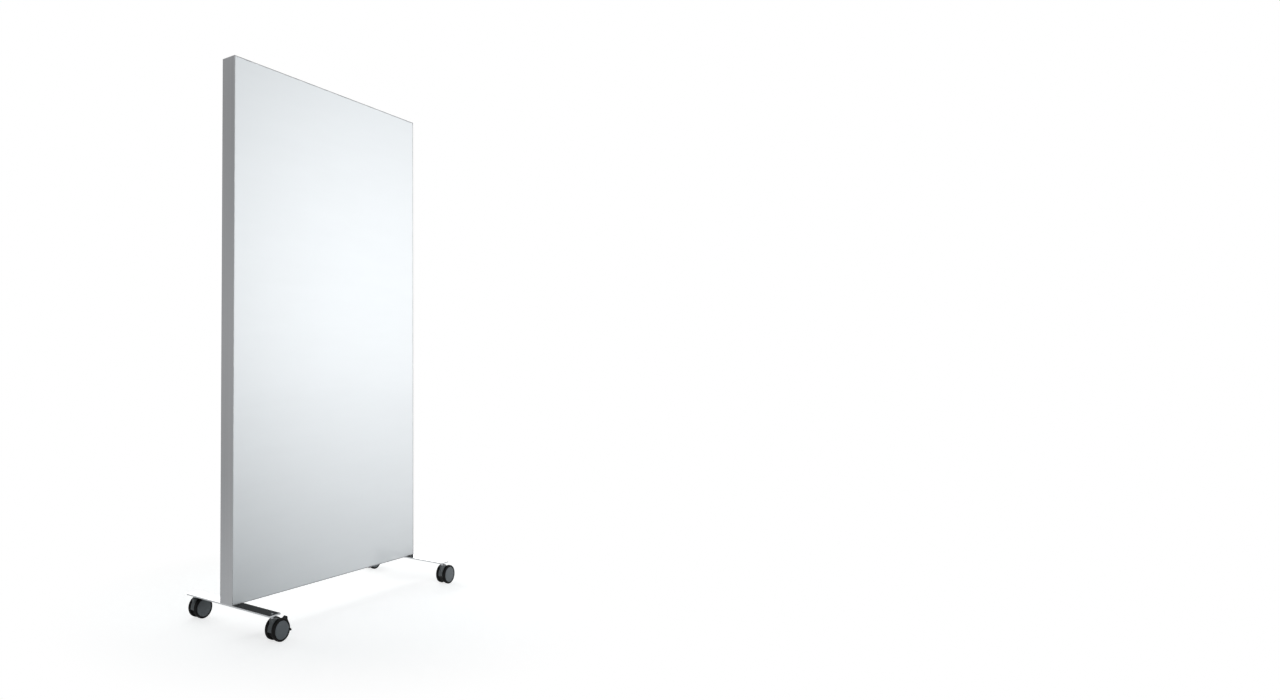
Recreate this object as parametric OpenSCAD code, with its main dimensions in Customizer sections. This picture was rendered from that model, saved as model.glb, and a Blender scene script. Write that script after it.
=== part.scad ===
// Rolling partition: a slim panel with a writing board on one face and felt on the other, standing
// on two flat bar feet with four twin-wheel casters.
// The origin is on the floor under the middle of the panel. X runs along the panel, -Y is the
// writing side, +Y is the felt side and +Z is up. Sizes are in millimetres.

/* [Panel] */
// Width of the panel
panel_w = 1000; // [700:10:1400]
// Height of the panel's top edge above the floor
overall_h = 1960; // [1400:10:2100]
// Thickness of the panel over both lips
panel_t = 64; // [54:1:80]

/* [Frame profile] */
// Outer wall of the profile, whose edge is the lip round each face
profile_wall = 2.5; // [2:0.1:4]
// Wall of the profile's hollow chamber
chamber_wall = 2; // [1.6:0.1:3]
// Depth of the profile, inwards from the panel's edge
profile_depth = 30; // [26:1:40]
// Depth of the rebate that takes each face
rebate_d = 9; // [7:0.5:11]

/* [Faces] */
// Setback of each face behind the lip
face_setback = 0.5; // [0:0.1:1.5]
// Gap between each face and the lip round it
face_gap = 0.4; // [0.2:0.1:1]
// Thickness of the enamelled writing sheet
sheet_t = 0.8; // [0.6:0.1:2]
// Thickness of the felt
felt_t = 2; // [1.5:0.1:4]
// Gap between the core and the frame round it
core_gap = 0.5; // [0.2:0.1:2]

/* [Corner joints] */
// Length of each leg of a corner key
key_reach = 90; // [76:1:120]
// Play of a key in the chamber, on each side
key_play = 0.25; // [0.1:0.05:0.5]
// Distance of a key's screws from the corner
key_screw_at = 60; // [50:1:65]
// Diameter of a key screw
key_screw_d = 4; // [3:0.5:4.5]
// Length of a key screw
key_screw_l = 12; // [8:1:20]

/* [Feet] */
// Length of a foot, across the panel
foot_l = 430; // [300:10:600]
// Width of a foot, along the panel
foot_w = 50; // [40:1:80]
// Thickness of a foot
foot_t = 5; // [4.5:0.5:8]
// Radius of a foot's corners
foot_corner_r = 2; // [0.5:0.5:8]
// Diameter of a foot screw
foot_screw_d = 8; // [6:1:8]
// Diameter of a foot screw's head
foot_screw_head_d = 16; // [13:1:16]
// Length of a foot screw
foot_screw_l = 24; // [18:1:26]
// Distance between the two screws of a foot
foot_screw_pitch = 24; // [20:1:28]

/* [Caster] */
// Diameter of a wheel
wheel_d = 75; // [65:1:100]
// Width of one wheel
wheel_w = 12.5; // [11:0.5:16]
// Gap between a wheel and the hood
wheel_play = 0.5; // [0.3:0.1:1.5]
// Height of the tyre's ring, from the rim to the tread
tyre_h = 7; // [6:0.25:10]
// Radius of the tyre's shoulders
tyre_shoulder_r = 2.5; // [1:0.25:3.5]
// Thickness of the hood between the wheels
hood_t = 18; // [17:0.5:22]
// Setback of the hood behind the tread
hood_setback = 7.5; // [5:0.5:10]
// Distance of the axle behind the stem
trail = 24; // [21:0.5:27]
// Diameter of the axle
axle_d = 6; // [5:0.5:8]

/* [Stem] */
// Distance of a stem from the end of the foot
stem_inset = 15; // [12:1:30]
// Diameter of the stem
stem_d = 10; // [9:0.5:11]
// Diameter of the stem's thread in the foot
stem_thread_d = 8; // [6:0.5:8]
// Length of the stem that shows between the hood and the foot
stem_neck = 11; // [6:0.5:20]
// Length of the stem inside the hood
stem_hold = 34; // [30:1:38]

/* [Brake] */
// Gap between the tread and the pedal's pad with the brake off
pad_gap = 1.2; // [1:0.1:2.5]
// Thickness of the pad
pad_t = 3; // [2:0.5:6]
// Width of the pad, which reaches over both tyres
pad_w = 28; // [24:1:36]
// Thickness of the pedal's back, from the inside of its blade out
back_t = 10; // [8:0.5:12]
// Width of the pedal's blade between the wheels
blade_w = 14; // [12:0.5:15]
// Width of the pedal's neck, in the hood's slot
neck_w = 9.4; // [8:0.1:10]
// Reach of the foot tab beyond the tread
tab_reach = 22; // [10:1:28]
// Diameter of the pedal's pin
brake_pin_d = 4; // [3:0.5:5]

/* [Fits] */
// Running clearance of a shaft in its bore, on the radius
running = 0.05; // [0.02:0.01:0.1]
// Clearance of a fixed pin, screw or ring in its seat, on the radius
fixed = 0.05; // [0.02:0.01:0.1]
// Clearance of a screw's shank in a hole that it only passes through, on the radius
loose = 0.3; // [0.2:0.1:0.5]

/* [Hidden] */
$fn = 96;

// Each caster's place: name, side along X, side along Y
PLACES = [
    ["left_front", -1, -1],
    ["left_back", -1, 1],
    ["right_front", 1, -1],
    ["right_back", 1, 1]
];
// Each wheel of a caster: name, and 1 on the side that points away from the panel
WHEELS = [["outer", 1], ["inner", -1]];
function braked(place) = place[1] * place[2] > 0;

// How far a cut runs past the face that it opens, and a shape into the one that it joins
overrun = 1;

// Heights above the floor
wheel_r = wheel_d / 2;
nose_rise = 1;
hood_top = wheel_d + nose_rise;
foot_bottom = hood_top + stem_neck;
foot_top = foot_bottom + foot_t;
panel_h = overall_h - foot_top;
panel_mid = (overall_h + foot_top) / 2;

// Places from the panel's mid-plane
lip_y = panel_t / 2;
seat_y = lip_y - rebate_d;
chamber_y = seat_y - chamber_wall;
face_y = lip_y - face_setback;
opening_w = panel_w - 2 * (profile_wall + face_gap);
opening_h = panel_h - 2 * (profile_wall + face_gap);
felt_turn_gap = 0.3;

// Corner keys, measured in from the frame's outer corner
key_start = profile_wall + key_play;
key_end = profile_depth - chamber_wall - key_play;
key_mid = (key_start + key_end) / 2;
key_screw_head_h = chamber_wall;
key_screw_head_d = key_screw_d + 2 * key_screw_head_h;
hex_sides = 6;

// Feet
foot_x = panel_w / 2 - foot_w / 2;
stem_y = foot_l / 2 - stem_inset;
foot_screw_head_h = (foot_screw_head_d - foot_screw_d) / 2;
foot_screw_tip_room = 2;

// Caster
hood_r = wheel_r - hood_setback;
rim_r = wheel_r - tyre_h - fixed;
rim_barrel_t = 3;
rim_inset = 0.5;
rim_web_t = 2.5;
rim_hub_t = 4;
cap_gap = 0.3;
cap_t = 2.2;
cap_proud = 0.4;
cap_chamfer = 0.8;
cap_seat = wheel_w + cap_proud - cap_t;
snap_depth = 0.4;
snap_w = 1.2;
snap_setback = 3;
snap_z = cap_seat - snap_setback;
snap_slack = 0.3;
axle_end_gap = 0.6;
axle_end = hood_t / 2 + wheel_play + cap_seat - axle_end_gap;
nose_drop = 4;
nose_chamfer = 1.5;
nose_setback = 1.5;
nose_r = wheel_r - nose_setback;
hood_boss_r = 9;
tyre_seam_angle = 45;
ring_t = 1.1;
ring_slot = 1.3;
ring_groove_d = 0.8;
ring_proud = 0.9;
ring_room = 0.4;
ring_mouth = 3;
ring_lift = 5;
ring_z = hood_top - stem_hold + ring_lift;
stem_chamfer = 1;

// Brake pedal, in polar places round the axle: 0 degrees points straight back
pivot_setback = 6;
pivot_r = hood_r - pivot_setback;
pivot_angle = 35;
pivot_eye_r = 5.5;
slot_play = 0.3;
slot_eye_r = 7;
slot_spread = 12;
pad_r = wheel_r + pad_gap;
pad_from = 28;
pad_to = 40;
blade_setback = 1;
blade_r = wheel_r - blade_setback;
blade_t = 4.5;
blade_from = -14;
back_from = 22;
back_to = 33;
peak_rise = 4;
peak_from = 39;
peak_to = 44;
blade_to = 47;
tab_root = 4.5;
tab_root_angle = -7;
tab_angle = -12.5;
tab_end_angle = -18;
tab_end_setback = 1.5;

// ---------- outlines ----------

module rounded_bar_2d(w, l, r) {
    square([w - 2 * r, l], center = true);
    square([w, l - 2 * r], center = true);
    for (sx = [-1, 1]) for (sy = [-1, 1]) {
        translate([sx * (w / 2 - r), sy * (l / 2 - r)]) circle(r);
    }
}

// Part of a ring round the origin, between two angles less than 120 degrees apart
module ring_sector_2d(r_in, r_out, from, to) {
    reach = 3 * r_out;
    middle = (from + to) / 2;
    difference() {
        intersection() {
            circle(r_out);
            polygon([for (a = [undef, from, middle, to])
                a == undef ? [0, 0] : reach * [cos(a), sin(a)]]);
        }
        circle(r_in);
    }
}

// Section of the frame profile: x runs in from the panel's edge, y across its thickness
module profile_2d() {
    translate([0, -lip_y]) square([profile_wall, panel_t]);
    difference() {
        translate([0, -seat_y]) square([profile_depth, 2 * seat_y]);
        translate([profile_wall, -chamber_y])
            square([profile_depth - profile_wall - chamber_wall, 2 * chamber_y]);
    }
}

// An outline drawn in x and height, made solid t thick about the mid-plane
module upright(t) {
    rotate([90, 0, 0]) linear_extrude(t, center = true) children();
}

// ---------- places ----------

// Outer corner of the frame, with x and z running inwards from it
module at_corner(side, top) {
    translate([side * panel_w / 2, 0, top ? overall_h : foot_top])
        mirror([side > 0 ? 1 : 0, 0, 0])
        mirror([0, 0, top ? 1 : 0])
        children();
}

module at_stem(place) {
    translate([place[1] * foot_x, place[2] * stem_y, 0]) children();
}

module at_axle(place) {
    at_stem(place) translate([trail, 0, wheel_r]) children();
}

// A wheel's inner face, with z running outwards along the axle
module at_wheel(place, wheel) {
    side = place[2] * wheel[1];
    at_axle(place) rotate([-90 * side, 0, 0]) translate([0, 0, hood_t / 2 + wheel_play]) children();
}

module at_brake_pivot() {
    rotate(pivot_angle) translate([pivot_r, 0]) children();
}

// ---------- frame ----------

// A mitred length of the profile: it lies along +x with its outer face down
module frame_member(l) {
    intersection() {
        translate([l, 0, 0]) rotate([0, -90, 0]) linear_extrude(l) profile_2d();
        upright(panel_t) polygon([
            [0, 0], [l, 0], [l - profile_depth, profile_depth], [profile_depth, profile_depth]
        ]);
    }
}

// Countersunk place of one key screw, in from the board side's chamber wall
module key_screw_shape(l, play) {
    translate([0, -seat_y, 0]) rotate([-90, 0, 0]) {
        cylinder(h = key_screw_head_h, d1 = key_screw_head_d + 2 * play, d2 = key_screw_d + 2 * play);
        cylinder(h = l, d = key_screw_d + 2 * play);
    }
}

// The screws of one corner, one in each leg of its key
module corner_screw_pair(l, play) {
    translate([key_mid, 0, key_screw_at]) key_screw_shape(l, play);
    translate([key_screw_at, 0, key_mid]) key_screw_shape(l, play);
}

module all_corner_screws(l, play) {
    for (side = [-1, 1]) for (top = [false, true]) {
        at_corner(side, top) corner_screw_pair(l, play);
    }
}

module stile(side) {
    color("silver") difference() {
        translate([side * panel_w / 2, 0, foot_top])
            mirror([side > 0 ? 1 : 0, 0, 0])
            mirror([1, 0, -1])
            frame_member(panel_h);
        all_corner_screws(key_screw_l, fixed);
    }
}

module top_rail() {
    color("silver") difference() {
        translate([-panel_w / 2, 0, overall_h]) mirror([0, 0, 1]) frame_member(panel_w);
        all_corner_screws(key_screw_l, fixed);
    }
}

module bottom_rail() {
    color("silver") difference() {
        translate([-panel_w / 2, 0, foot_top]) frame_member(panel_w);
        all_corner_screws(key_screw_l, fixed);
        for (side = [-1, 1]) at_foot_screws(side) cylinder(h = foot_screw_l, d = foot_screw_d + 2 * loose);
    }
}

module corner_key_body() {
    upright(2 * (chamber_y - key_play)) polygon([
        [key_start, key_start], [key_reach, key_start], [key_reach, key_end],
        [key_end, key_end], [key_end, key_reach], [key_start, key_reach]
    ]);
}

module top_corner_keys() {
    color("gainsboro") for (side = [-1, 1]) at_corner(side, true) difference() {
        corner_key_body();
        corner_screw_pair(key_screw_l + overrun, fixed);
    }
}

module bottom_corner_blocks() {
    color("gainsboro") for (side = [-1, 1]) difference() {
        at_corner(side, false) difference() {
            corner_key_body();
            corner_screw_pair(key_screw_l + overrun, fixed);
        }
        at_foot_screws(side) cylinder(h = foot_screw_l + foot_screw_tip_room, d = foot_screw_d + 2 * fixed);
    }
}

module corner_screws() {
    hex_d = key_screw_d / 2;
    color("dimgray") for (side = [-1, 1]) for (top = [false, true]) at_corner(side, top) {
        difference() {
            corner_screw_pair(key_screw_l, 0);
            for (spot = [[key_mid, key_screw_at], [key_screw_at, key_mid]])
                translate([spot[0], -seat_y, spot[1]]) rotate([-90, 0, 0])
                    cylinder(h = key_screw_head_h / 2, d = hex_d, $fn = hex_sides);
        }
    }
}

// ---------- faces and core ----------

// A slab in the frame's opening, set in by a margin all round, from one y to another
module slab(margin, y_from, y_to) {
    translate([-opening_w / 2 + margin, y_from, panel_mid - opening_h / 2 + margin])
        cube([opening_w - 2 * margin, y_to - y_from, opening_h - 2 * margin]);
}

module panel_core() {
    inset = profile_depth + core_gap;
    color("khaki") translate([-panel_w / 2 + inset, -seat_y, foot_top + inset])
        cube([panel_w - 2 * inset, 2 * seat_y, panel_h - 2 * inset]);
}

module board_backing() {
    color("burlywood") slab(0, -face_y + sheet_t, -seat_y);
}

module writing_sheet() {
    color("white") slab(0, -face_y, -face_y + sheet_t);
}

module pin_board() {
    color("peru") slab(felt_t + felt_turn_gap, seat_y, face_y - felt_t);
}

// The felt covers the pin board's face and turns over its four edges
module felt_cover() {
    color("darkseagreen") difference() {
        slab(0, seat_y, face_y);
        slab(felt_t, seat_y - overrun, face_y - felt_t);
    }
}

// ---------- feet ----------

// The two screw places of a foot, with z running up from its underside
module at_foot_screws(side) {
    for (sy = [-1, 1])
        translate([side * foot_x, sy * foot_screw_pitch / 2, foot_bottom]) children();
}

module foot(side) {
    color("dimgray") difference() {
        translate([side * foot_x, 0, foot_bottom])
            linear_extrude(foot_t) rounded_bar_2d(foot_w, foot_l, foot_corner_r);
        at_foot_screws(side) {
            cylinder(h = foot_screw_head_h, d1 = foot_screw_head_d + 2 * loose,
                d2 = foot_screw_d + 2 * loose);
            cylinder(h = foot_t, d = foot_screw_d + 2 * loose);
        }
        for (place = PLACES) at_stem(place) translate([0, 0, foot_bottom])
            cylinder(h = foot_t, d = stem_thread_d + 2 * fixed);
    }
}

module foot_screws() {
    socket_d = 5.8;
    socket_h = 2.6;
    color("gray") for (side = [-1, 1]) at_foot_screws(side) difference() {
        union() {
            cylinder(h = foot_screw_head_h, d1 = foot_screw_head_d, d2 = foot_screw_d);
            cylinder(h = foot_screw_l, d = foot_screw_d);
        }
        cylinder(h = socket_h, d = socket_d, $fn = hex_sides);
    }
}

// ---------- casters ----------

module stem(place) {
    r = stem_d / 2;
    groove_r = r - ring_groove_d;
    bottom = hood_top - stem_hold;
    thread_r = stem_thread_d / 2;
    color("lightgray") at_stem(place) rotate_extrude() polygon([
        [0, bottom], [r - stem_chamfer, bottom], [r, bottom + stem_chamfer],
        [r, ring_z], [groove_r, ring_z], [groove_r, ring_z + ring_slot], [r, ring_z + ring_slot],
        [r, foot_bottom], [thread_r, foot_bottom], [thread_r, foot_top], [0, foot_top]
    ]);
}

module stem_snap_rings() {
    seat = (ring_slot - ring_t) / 2;
    color("dimgray") for (place = PLACES) at_stem(place) translate([0, 0, ring_z + seat]) difference() {
        cylinder(h = ring_t, r = stem_d / 2 + ring_proud);
        cylinder(h = ring_t, r = stem_d / 2 - ring_groove_d + fixed);
        translate([0, -ring_mouth / 2, 0]) cube([stem_d, ring_mouth, ring_t]);
    }
}

// Web between the wheels: nearly as round as the treads in front, lower behind, open below the axle
module hood_web() {
    width = hood_t + 2 * overrun;
    difference() {
        union() {
            upright(hood_t) circle(hood_r);
            difference() {
                upright(hood_t) circle(nose_r);
                translate([wheel_r, 0, 0]) cube([2 * wheel_r, width, 2 * wheel_r + overrun], center = true);
            }
        }
        translate([0, 0, -nose_drop - wheel_r]) cube([2 * wheel_r, width, 2 * wheel_r], center = true);
    }
    upright(hood_t) circle(hood_boss_r);
    upright(hood_t) polygon([
        [-trail, -nose_drop], [-trail, wheel_r + nose_rise - nose_chamfer], [0, nose_r], [0, -nose_drop]
    ]);
}

// Upright nose round the stem
module hood_nose() {
    r = hood_t / 2;
    top = wheel_r + nose_rise;
    translate([-trail, 0, 0]) rotate_extrude() polygon([
        [0, -nose_drop], [r - nose_chamfer, -nose_drop], [r, nose_chamfer - nose_drop],
        [r, top - nose_chamfer], [r - nose_chamfer, top], [0, top]
    ]);
}

// Bore of the stem, with the groove that its snap ring turns in
module stem_bore() {
    bore_bottom = hood_top - wheel_r - stem_hold - running;
    groove_h = ring_slot + 2 * ring_room;
    translate([-trail, 0, 0]) {
        translate([0, 0, bore_bottom]) cylinder(h = stem_hold + overrun, r = stem_d / 2 + running);
        translate([0, 0, ring_z - wheel_r - ring_room])
            cylinder(h = groove_h, r = stem_d / 2 + ring_proud + ring_room);
    }
}

// Slot that the pedal's neck swings in, open at the rim of the web
module brake_slot_2d() {
    reach = pivot_setback + 2 * slot_eye_r;
    at_brake_pivot() {
        circle(slot_eye_r);
        polygon([[0, slot_eye_r], [reach, slot_eye_r], [reach, -slot_eye_r - slot_spread], [0, -slot_eye_r]]);
    }
}

module hood(place) {
    color("dimgray") at_axle(place) difference() {
        union() {
            hood_web();
            hood_nose();
        }
        stem_bore();
        upright(hood_t) circle(axle_d / 2 + fixed);
        if (braked(place)) {
            upright(neck_w + 2 * slot_play) brake_slot_2d();
            upright(hood_t) at_brake_pivot() circle(brake_pin_d / 2 + fixed);
        }
    }
}

module axle(place) {
    groove_z = hood_t / 2 + wheel_play + snap_z;
    color("lightgray") at_axle(place) rotate([90, 0, 0]) difference() {
        cylinder(h = 2 * axle_end, d = axle_d, center = true);
        for (s = [-1, 1]) translate([0, 0, s * groove_z]) difference() {
            cylinder(h = snap_w, r = axle_d / 2 + overrun, center = true);
            cylinder(h = snap_w, r = axle_d / 2 - snap_depth, center = true);
        }
    }
}

// Rim: hub, web and barrel, with a ridge in the hub that snaps into the axle's groove
module rim(place, wheel) {
    hub_r = axle_d / 2 + rim_hub_t;
    bore_r = axle_d / 2 + running;
    barrel_end = cap_seat - running;
    web_z = (cap_seat - rim_web_t) / 2;
    ridge_w = snap_w - 2 * fixed - snap_slack;
    ridge_r = axle_d / 2 - snap_depth + 3 * running;
    color("gray") at_wheel(place, wheel) rotate_extrude() {
        translate([rim_r - rim_barrel_t, rim_inset]) square([rim_barrel_t, barrel_end - rim_inset]);
        translate([hub_r - overrun, web_z]) square([rim_r - hub_r - overrun, rim_web_t]);
        translate([bore_r, rim_inset]) square([hub_r - bore_r, barrel_end - rim_inset]);
        translate([ridge_r, snap_z - ridge_w / 2]) square([hub_r - ridge_r - overrun, ridge_w]);
    }
}

module tyre_2d() {
    inner = wheel_r - tyre_h;
    shoulder = wheel_r - tyre_shoulder_r;
    translate([inner, 0]) square([shoulder - inner, wheel_w]);
    translate([inner, tyre_shoulder_r]) square([tyre_h, wheel_w - 2 * tyre_shoulder_r]);
    for (z = [tyre_shoulder_r, wheel_w - tyre_shoulder_r]) translate([shoulder, z]) circle(tyre_shoulder_r);
}

// Its seam is turned away from the floor, so that a mesh of it stands on a flat and not on an edge
module tyre(place, wheel) {
    color("#161616") at_wheel(place, wheel) rotate([0, 0, tyre_seam_angle]) rotate_extrude() tyre_2d();
}

module hub_cap(place, wheel) {
    r = wheel_r - tyre_h - cap_gap;
    color("slategray") at_wheel(place, wheel) translate([0, 0, cap_seat]) rotate_extrude() polygon([
        [0, 0], [r, 0], [r, cap_t - cap_chamfer], [r - cap_chamfer, cap_t], [0, cap_t]
    ]);
}

// ---------- brake ----------

module pedal_neck_2d() {
    at_brake_pivot() {
        circle(pivot_eye_r);
        translate([0, -pivot_eye_r]) square([blade_r + blade_t / 2 - pivot_r, 2 * pivot_eye_r]);
    }
}

// Curved to the wheels inside, with a thick back that rises to a peak for the shoe that lets the
// brake off, and a tab that juts out low down for the shoe that puts it on
module pedal_blade_2d() {
    back_r = blade_r + back_t;
    tab_r = wheel_r + tab_reach;
    corners = [
        [blade_r + blade_t, blade_to], [back_r + peak_rise, peak_to], [back_r + peak_rise, peak_from],
        [back_r, back_to], [back_r, back_from], [back_r + tab_root, tab_root_angle],
        [tab_r, tab_angle], [tab_r - tab_end_setback, tab_end_angle], [blade_r + blade_t, blade_from]
    ];
    difference() {
        polygon([[0, 0], for (c = corners) c[0] * [cos(c[1]), sin(c[1])]]);
        circle(blade_r);
    }
}

module brake_pedal(place) {
    color("#161616") at_axle(place) difference() {
        union() {
            upright(neck_w) pedal_neck_2d();
            upright(blade_w) pedal_blade_2d();
            upright(pad_w) ring_sector_2d(pad_r, pad_r + pad_t, pad_from, pad_to);
        }
        upright(neck_w) at_brake_pivot() circle(brake_pin_d / 2 + running);
    }
}

module brake_pin(place) {
    color("lightgray") at_axle(place) upright(hood_t) at_brake_pivot() circle(brake_pin_d / 2);
}

// ---------- the whole part ----------

stile(-1);  // stile_left
stile(1);  // stile_right
top_rail();
bottom_rail();
top_corner_keys();
bottom_corner_blocks();
corner_screws();
panel_core();
board_backing();
writing_sheet();
pin_board();
felt_cover();
foot(-1);  // foot_left
foot(1);  // foot_right
foot_screws();
stem_snap_rings();
for (place = PLACES) {
    stem(place);
    hood(place);
    axle(place);
    for (wheel = WHEELS) {
        rim(place, wheel);
        tyre(place, wheel);
        hub_cap(place, wheel);
    }
    if (braked(place)) {
        brake_pedal(place);
        brake_pin(place);
    }
}
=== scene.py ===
# %% [markdown]
# # A rolling partition
# The object is a slim panel, 1 m wide and almost 2 m high, that divides a room. One face is a
# white writing board and the other is felt to pin on. An aluminium profile frames both, and the
# panel stands on two flat bar feet with four twin-wheel casters.
#
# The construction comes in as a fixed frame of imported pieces: it says where everything is, how big
# it is and what it moves with. This lesson builds the looks round it. What the eye rests on gets a
# new, finer piece in the same place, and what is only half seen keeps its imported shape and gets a
# proper finish.

import math

import bmesh
import bpy
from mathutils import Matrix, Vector, noise


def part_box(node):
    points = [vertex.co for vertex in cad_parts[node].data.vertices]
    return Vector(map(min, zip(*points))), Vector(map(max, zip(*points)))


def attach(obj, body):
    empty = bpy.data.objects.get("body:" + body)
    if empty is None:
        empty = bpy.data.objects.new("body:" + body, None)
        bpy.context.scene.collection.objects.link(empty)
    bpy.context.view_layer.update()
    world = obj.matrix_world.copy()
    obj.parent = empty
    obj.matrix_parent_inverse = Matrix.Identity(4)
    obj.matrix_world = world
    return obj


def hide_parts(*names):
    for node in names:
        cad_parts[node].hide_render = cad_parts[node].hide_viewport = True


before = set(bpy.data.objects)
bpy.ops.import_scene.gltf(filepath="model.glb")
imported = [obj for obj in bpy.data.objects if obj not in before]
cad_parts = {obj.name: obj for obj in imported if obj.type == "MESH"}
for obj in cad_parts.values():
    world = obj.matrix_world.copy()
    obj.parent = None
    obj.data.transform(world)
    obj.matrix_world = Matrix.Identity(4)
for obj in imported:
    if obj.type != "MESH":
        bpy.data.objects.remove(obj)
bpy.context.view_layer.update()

# %% [markdown]
# ## Sizes
# Blender works in metres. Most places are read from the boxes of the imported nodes, so that nothing
# is placed twice. The few sizes below are those of the frame's section, which a box can't tell.

# %% Sizes and places
MM = 0.001
PANEL_LOW = Vector((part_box("stile_left")[0].x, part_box("stile_left")[0].y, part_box("bottom_rail")[0].z))
PANEL_HIGH = Vector((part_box("stile_right")[1].x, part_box("stile_right")[1].y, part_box("top_rail")[1].z))
PROFILE_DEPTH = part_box("stile_left")[1].x - PANEL_LOW.x
SEAT_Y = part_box("panel_core")[1].y
PROFILE_WALL = 2.5 * MM
CHAMBER_WALL = 2.0 * MM
PLACES = ("left_front", "left_back", "right_front", "right_back")
BRAKED = ("left_front", "right_back")
print("panel:", PANEL_HIGH - PANEL_LOW, "profile depth:", PROFILE_DEPTH)

# %% [markdown]
# ## The camera
# The photograph was taken from in front and to the left, a little under the panel's mid-height,
# with a wide lens: the near upright edge is a quarter taller than the far one. The place and lens
# below were solved from the corners of the panel and the floor points of the wheels. The panel
# stands left of the middle of the picture, which is a sideways shift of the lens and not a turn,
# because its upright edges stay parallel.

# %% Make the camera
CAMERA_PLACE = Vector((-2.3277, -2.1971, 0.8823))
CAMERA_HEADING = 0.884
CAMERA_TILT = 0.025
LENS_MM = 23.171
LENS_SHIFT_X = 0.1986


def add_object(name, data):
    """A new object of the scene, which shows a mesh, a lamp or a camera."""
    made = bpy.data.objects.new(name, data)
    bpy.context.scene.collection.objects.link(made)
    return made


camera = add_object("camera", bpy.data.cameras.new("camera"))
camera.location = CAMERA_PLACE
camera.rotation_euler = (math.pi / 2 + CAMERA_TILT, 0, -CAMERA_HEADING)
camera.data.lens = LENS_MM
camera.data.shift_x = LENS_SHIFT_X
bpy.context.scene.camera = camera
bpy.context.scene.view_settings.view_transform = "Standard"
print("camera at", tuple(camera.location))

# %% [markdown]
# ## Colours and nodes
# Colours are picked as sRGB hex codes, as they look on a screen, and one function turns them into
# the linear values that the shader works in. One more function adds a node, with its settings and
# whatever feeds it. Each finish starts from the same two nodes: its shader and the Object
# coordinates, which are real metres here, so that a pattern's scale can be a real size.

# %% Helpers for materials
def linear(hex_code):
    """An sRGB hex code, such as '#8A8D90', as linear red, green, blue and alpha."""
    parts = [int(hex_code[i:i + 2], 16) / 255 for i in (1, 3, 5)]
    return [c / 12.92 if c <= 0.04045 else ((c + 0.055) / 1.055) ** 2.4 for c in parts] + [1.0]


def add_node(tree, kind, inputs=None, **settings):
    """One node. inputs maps a socket's name or number to a value or to the socket that feeds it."""
    node = tree.nodes.new(kind)
    for name, value in settings.items():
        setattr(node, name, value)
    for name, value in (inputs or {}).items():
        if isinstance(value, bpy.types.NodeSocket):
            tree.links.new(value, node.inputs[name])
        else:
            node.inputs[name].default_value = value
    return node


def feed(tree, kind, inputs=None, **settings):
    """The first output of a new node, to feed the next one with."""
    return add_node(tree, kind, inputs, **settings).outputs[0]


def calculate(tree, kind, *values):
    """The result of a Math node, from the numbers or sockets that it is given."""
    return feed(tree, "ShaderNodeMath", dict(enumerate(values)), operation=kind)


def split(tree, vector):
    """The X, Y and Z of a vector, as the outputs of a Separate XYZ node."""
    return add_node(tree, "ShaderNodeSeparateXYZ", {0: vector}).outputs


def mix_colours(tree, share, first, second):
    """A colour between two others, which are hex codes or sockets. A Mix node has them at 6 and 7."""
    first, second = [linear(end) if isinstance(end, str) else end for end in (first, second)]
    return add_node(tree, "ShaderNodeMix", {0: share, 6: first, 7: second}, data_type="RGBA").outputs[2]


def empty_material(name):
    """A new material with an empty tree, and its coordinates in metres."""
    material = bpy.data.materials.new(name)
    material.use_nodes = True
    material.node_tree.nodes.clear()
    where = add_node(material.node_tree, "ShaderNodeTexCoord").outputs["Object"]
    return material, material.node_tree, where


def start_material(name, **shader):
    """A new material with its tree, its Principled shader and its coordinates in metres."""
    material, tree, where = empty_material(name)
    bsdf = add_node(tree, "ShaderNodeBsdfPrincipled", shader)
    add_node(tree, "ShaderNodeOutputMaterial", {"Surface": bsdf.outputs["BSDF"]})
    return material, tree, bsdf, where


# %% [markdown]
# ## Patterns
# A real finish is never one flat tone. Every finish below is a cloudy or streaky pattern of a real
# size, which moves the colour and, on most of them, the gloss and the relief with it. Making the
# pattern, spreading its values and coating the shader with them are one function each.

# %% Helpers for patterns
def per_metre(size_mm):
    """The texture scale at which a pattern repeats about once in that many millimetres."""
    return 1000 / size_mm


def pattern(tree, where, size_mm, detail=2.0, roughness=0.5, turn=(0, 0, 0)):
    """Cloudy values from 0 to 1. Three sizes in place of one stretch the clouds along x, y and z."""
    scale = 1.0
    if isinstance(size_mm, tuple):
        sizes = [per_metre(mm) for mm in size_mm]
        where = feed(tree, "ShaderNodeMapping", {"Vector": where, "Rotation": turn, "Scale": sizes})
    else:
        scale = per_metre(size_mm)
    return feed(tree, "ShaderNodeTexNoise", {
        "Vector": where, "Scale": scale, "Detail": detail, "Roughness": roughness})


def between(tree, share, low=0.0, high=1.0, start=0.0, end=1.0, **settings):
    """Spreads the part of a pattern from start to end over the values from low to high."""
    return feed(tree, "ShaderNodeMapRange", {
        "Value": share, "From Min": start, "From Max": end, "To Min": low, "To Max": high}, **settings)


def coat(tree, bsdf, colour, roughness=None, height=None, strength=0.1, depth_mm=0.05):
    """Feeds a shader with its colour and, where they vary, with its roughness and its relief."""
    tree.links.new(colour, bsdf.inputs["Base Color"])
    if roughness is not None:
        tree.links.new(roughness, bsdf.inputs["Roughness"])
    if height is not None:
        bump = feed(tree, "ShaderNodeBump", {
            "Height": height, "Strength": strength, "Distance": depth_mm * MM})
        tree.links.new(bump, bsdf.inputs["Normal"])


# %% [markdown]
# ## The white studio
# A catalogue picture has a white studio round the object. Camera, glossy and transmission rays see
# a world of strength 1, which is plain white and also what metal reflects, while the light that
# falls on the object from all round is weaker. It is cooler as well, because the foot of the board,
# which the lamps reach least, is a cool grey in the photograph, and its bright part is neutral.

# %% World
FILL_LIGHT = 0.155
FILL_COLOUR = "#CEE9F2"
WHITE, BLACK = "#FFFFFF", "#000000"


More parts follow.
